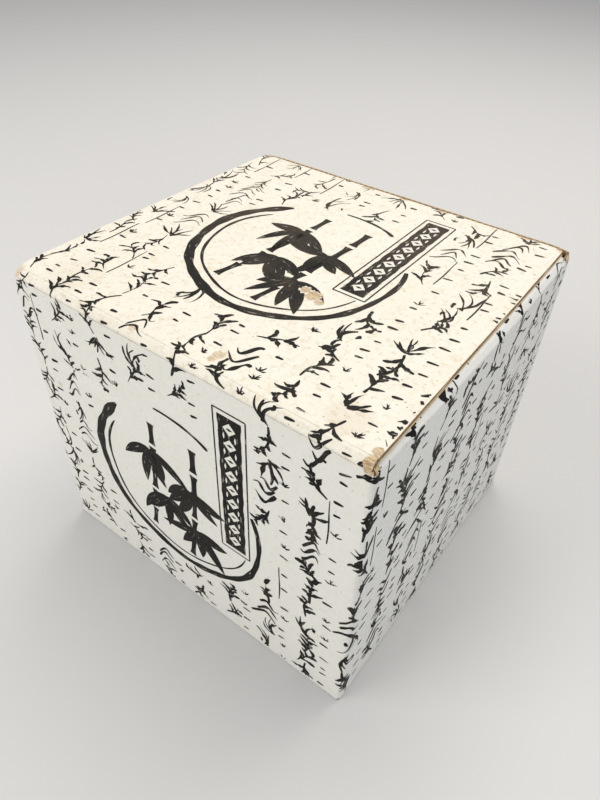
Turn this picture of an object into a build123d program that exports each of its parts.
"""A small gift carton of fluted board: four walls, a hinged tuck lid and an interlocking base.

The whole carton is one die-cut and creased sheet, and each panel or flap between two creases is a
solid of its own. Millimetres. The origin is the middle of the underside: X runs along the front
wall, Y from the front wall to the back wall, Z up.
"""
from build123d import *
import math
import os

# Overall size, outside the board
box_width = 170.0
box_depth = 162.0
box_height = 150.0

# Board and creases
board = 1.6
corner_radius = 2.0      # outside radius of the four upright folds
crease_radius = 1.3      # outside radius of the lid's and the flaps' folds
corner_relief = 1.0      # from an upright fold to the end of a flap's crease

# Lid panel
lid_side_inset = 1.5     # the lid's cut side edges stand in from the side walls
lid_back_gap = 0.5       # from the lid's back fold to the back wall
back_wall_drop = 0.4     # the back wall's cut top edge lies this far below the lid's top

# Tuck flap, along the lid's back fold
tuck_depth = 28.0
tuck_side_inset = 4.0    # from the walls' inner faces to the tuck flap's ends
tuck_corner = 14.0
tuck_fold_in = 25.0      # degrees that it can fold inwards under the closed lid
tuck_stop_margin = 1.0   # degrees between that and its upper end meeting the lid
tuck_sweep_gap = 0.5     # from the back wall to the tip as it swings out

# Dust flaps, along the tops of the side walls
dust_length = 62.0
dust_front_gap = 1.5
dust_front_slope = 0.5   # the front edge recedes, so that the lid stays ahead of the rising flap
dust_back_gap = 0.6
dust_back_slope = 0.06
dust_corner = 9.0

# Glue flap, inside the left wall
glue_width = 24.0
glue_taper = 9.0
glue_end_gap = 1.2

# Interlocking base
layer_gap = 0.2          # between two flaps that lie on each other
foot_length = 4.0        # flat strip beside each bottom crease
shoulder_inset = 13.0    # from the side walls to the sides of the front and back base flaps
rise_margin = 1.0
side_base_length = 42.0
side_base_corner = 6.0
slot_reach = 12.0        # how far the back base flap's ears pass the middle
slot_depth = 20.0
slot_width = 80.0
slot_corner = 6.0
tongue_play = 4.0        # from the tongue to each side of the slot
tongue_rise_start = 8.0  # ahead of the middle
tongue_rise_run = 14.0
tongue_length = 24.0     # flat part of the tongue, which lies on the back base flap
tongue_corner = 10.0

# Worked out from the sizes above
half_width = box_width / 2
half_depth = box_depth / 2
layer = board + layer_gap
lid_reach = box_depth - board - lid_back_gap
lid_back = lid_reach - half_depth
lid_under = box_height - board
dust_under = lid_under - board

# The tuck flap leans in just enough for its tip to clear the back wall as the lid swings up.
tip_reach = box_depth - board - tuck_sweep_gap
lean = math.degrees(math.asin(
    (lid_reach ** 2 + tuck_depth ** 2 - tip_reach ** 2) / (2 * lid_reach * tuck_depth)
))
steepest = math.radians(lean + tuck_fold_in + tuck_stop_margin)

# Where the tuck flap's inner face passes the dust flaps' level when it is folded in all the way
tuck_swing = board * math.cos(steepest) + board * (2 + math.sin(steepest)) * math.tan(steepest)
dust_back = lid_back - tuck_swing - dust_back_gap


def block(outline, low, high):
    """A flat panel: the outline, given as points from above, raised from low to high."""
    face = make_face(Polyline(*outline, close=True))
    return Pos(0, 0, low) * extrude(face, high - low)


def carton_outline(inset):
    """The carton from above with rounded upright folds, drawn in from the outside by inset."""
    return RectangleRounded(box_width - 2 * inset, box_depth - 2 * inset, corner_radius - inset)


def inside_outline(solid):
    """Trim a solid to the outside faces of the carton."""
    return solid & extrude(carton_outline(0), box_height)


def upright_edges(solid, x_low, x_high, y_low, y_high):
    """The solid's vertical edges whose middles lie in a box seen from above."""
    edges = solid.edges().filter_by(Axis.Z)
    edges = edges.filter_by_position(Axis.X, x_low, x_high)
    return edges.filter_by_position(Axis.Y, y_low, y_high)


def outer_edge(solid, run, direction, place_z):
    """The edge along the axis run that lies furthest in a direction, at a height."""
    edges = solid.edges().filter_by(run)
    edges = edges.filter_by_position(Axis.Z, place_z - 0.01, place_z + 0.01)
    return edges.sort_by(direction)[-1]


def wall(side, top):
    """One wall of the tube, mitred along its two upright folds."""
    mitre = 3 * board
    outer = [(-half_width, -half_depth), (half_width, -half_depth),
             (half_width, half_depth), (-half_width, half_depth)]
    inner = [(-half_width + mitre, -half_depth + mitre), (half_width - mitre, -half_depth + mitre),
             (half_width - mitre, half_depth - mitre), (-half_width + mitre, half_depth - mitre)]
    first = ["front", "right", "back", "left"].index(side)
    second = (first + 1) % 4
    wedge = make_face(Polyline(outer[first], outer[second], inner[second], inner[first], close=True))
    ring = carton_outline(0) - carton_outline(board)
    return Pos(0, 0, board) * extrude(ring & wedge, top - board)


def lid_panel():
    """The lid: a panel hinged along its front edge, with cut side edges."""
    half_lid = half_width - lid_side_inset
    outline = [(-half_lid, -half_depth), (half_lid, -half_depth),
               (half_lid, lid_back), (-half_lid, lid_back)]
    lid = inside_outline(block(outline, lid_under, box_height))
    top_edges = lid.edges().filter_by(Axis.X).filter_by_position(
        Axis.Z, box_height - 0.01, box_height + 0.01
    )
    return fillet(top_edges, crease_radius)


def tuck_flap():
    """The flap along the lid's back fold, leaning in behind the dust flaps.

    Its upper end is cut back to the plane that meets the lid's underside when it is folded in.
    """
    outer_top = -board / math.cos(steepest)
    inner_top = outer_top - board * math.tan(steepest)
    section = Plane.YZ * make_face(Polyline(
        (0, outer_top), (0, -tuck_depth), (-board, -tuck_depth), (-board, inner_top), close=True
    ))
    half_tuck = half_width - board - tuck_side_inset
    flap = extrude(section, half_tuck, both=True)
    tips = flap.edges().filter_by(Axis.Y).sort_by(Axis.Z)[:2]
    flap = fillet(tips, tuck_corner)
    return Pos(0, lid_back, box_height) * Rot(-lean, 0, 0) * flap


def dust_flap(side):
    """A flap folded in from the top of a side wall, under the lid; side is 1 or -1."""
    front = -half_depth + board + dust_front_gap
    outline = [
        (side * half_width, front),
        (side * (half_width - dust_length), front + dust_front_slope * dust_length),
        (side * (half_width - dust_length), dust_back - dust_back_slope * dust_length),
        (side * half_width, dust_back),
    ]
    flap = block(outline, dust_under, lid_under)
    free_x = side * (half_width - dust_length)
    corners = upright_edges(flap, free_x - 1, free_x + 1, -half_depth, half_depth)
    flap = fillet(corners, dust_corner)
    outward = Axis.X if side > 0 else -Axis.X
    return fillet(outer_edge(flap, Axis.Y, outward, lid_under), crease_radius)


def glue_flap():
    """The strip folded from the back wall's edge and glued flat inside the left wall."""
    low = board + 2 * layer + glue_end_gap
    high = dust_under - glue_end_gap
    fold = half_depth - corner_radius
    face = Plane.YZ * make_face(Polyline(
        (fold, low), (fold, high),
        (fold - glue_width, high - glue_taper), (fold - glue_width, low + glue_taper), close=True
    ))
    return Pos(-half_width + board, 0, 0) * extrude(face, board)


def base_flap(side, outline, tip_radius, rise, rise_start, rise_end):
    """A base flap, drawn as if folded in from a wall at u = 0, and turned to its own wall.

    Outline gives (u, v) points, u inwards and v along the wall, and the corners furthest in are
    rounded. The flap lies flat on the ground, then climbs by rise between rise_start and rise_end
    and goes on level.
    """
    length = max(u for u, v in outline)
    half_span = max(v for u, v in outline)
    face = make_face(Polyline(*outline, close=True))
    tips = face.vertices().filter_by_position(Axis.X, length - 0.01, length + 0.01)
    face = fillet(tips, tip_radius)
    profile = Plane.XZ * make_face(Polyline(
        (0, 0), (rise_start, 0), (rise_end, rise), (length, rise),
        (length, rise + board), (rise_end, rise + board), (rise_start, board), (0, board), close=True
    ))
    flap = extrude(profile, half_span, both=True)
    flap &= extrude(face, rise + board)
    flap = fillet(outer_edge(flap, Axis.Y, -Axis.X, 0), crease_radius)
    turn = {"front": 90, "right": 180, "back": -90, "left": 0}[side]
    place = {"front": (0, -half_depth), "right": (half_width, 0),
             "back": (0, half_depth), "left": (-half_width, 0)}[side]
    return inside_outline(Pos(*place, 0) * Rot(0, 0, turn) * flap)


def mirrored(points):
    """Points of one half of an outline, followed by their mirror images in reverse order."""
    return points + [(u, -v) for u, v in reversed(points)]


def side_base_flap(side):
    """The left or right base flap: a plain trapezium in the second layer."""
    half_crease = half_depth - corner_relief
    half_tip = half_crease - side_base_length
    outline = mirrored([(0, half_crease), (side_base_length, half_tip)])
    rise_end = shoulder_inset - rise_margin
    return base_flap(side, outline, side_base_corner, layer, foot_length, rise_end)


def back_base_flap():
    """The back base flap: in the third layer, with a wide slot between two ears."""
    half_crease = half_width - corner_relief
    half_span = half_width - shoulder_inset
    reach = half_depth + slot_reach
    outline = mirrored([
        (0, half_crease), (half_crease - half_span, half_span),
        (reach, half_span), (reach, slot_width / 2), (reach - slot_depth, slot_width / 2),
    ])
    rise_end = shoulder_inset + corner_relief - rise_margin
    return base_flap("back", outline, slot_corner, 2 * layer, foot_length, rise_end)


def front_base_flap():
    """The front base flap: the outermost layer, whose tongue climbs through the slot."""
    half_crease = half_width - corner_relief
    half_span = half_width - shoulder_inset
    half_tongue = slot_width / 2 - tongue_play
    rise_start = half_depth - tongue_rise_start
    rise_end = rise_start + tongue_rise_run
    tip = rise_end + tongue_length
    outline = mirrored([
        (0, half_crease), (half_crease - half_span, half_span),
        (rise_start, half_span), (rise_start, half_tongue), (tip, half_tongue),
    ])
    return base_flap("front", outline, tongue_corner, 3 * layer, rise_start, rise_end)


nodes = {
    "front_wall": wall("front", lid_under),
    "right_wall": wall("right", dust_under),
    "back_wall": wall("back", box_height - back_wall_drop),
    "left_wall": wall("left", dust_under),
    "glue_flap": glue_flap(),
    "lid_panel": lid_panel(),
    "tuck_flap": tuck_flap(),
    "left_dust_flap": dust_flap(-1),
    "right_dust_flap": dust_flap(1),
    "left_base_flap": side_base_flap("left"),
    "right_base_flap": side_base_flap("right"),
    "back_base_flap": back_base_flap(),
    "front_base_flap": front_base_flap(),
}

os.makedirs("parts", exist_ok=True)
for name, solid in nodes.items():
    export_step(solid, f"parts/{name}.step")

print(f"tuck flap leans in {lean:.2f} degrees; lid reaches back to y = {lid_back:.2f}")
print(f"dust flaps end at y = {dust_back:.2f}; base is {board + 3 * layer:.2f} thick")
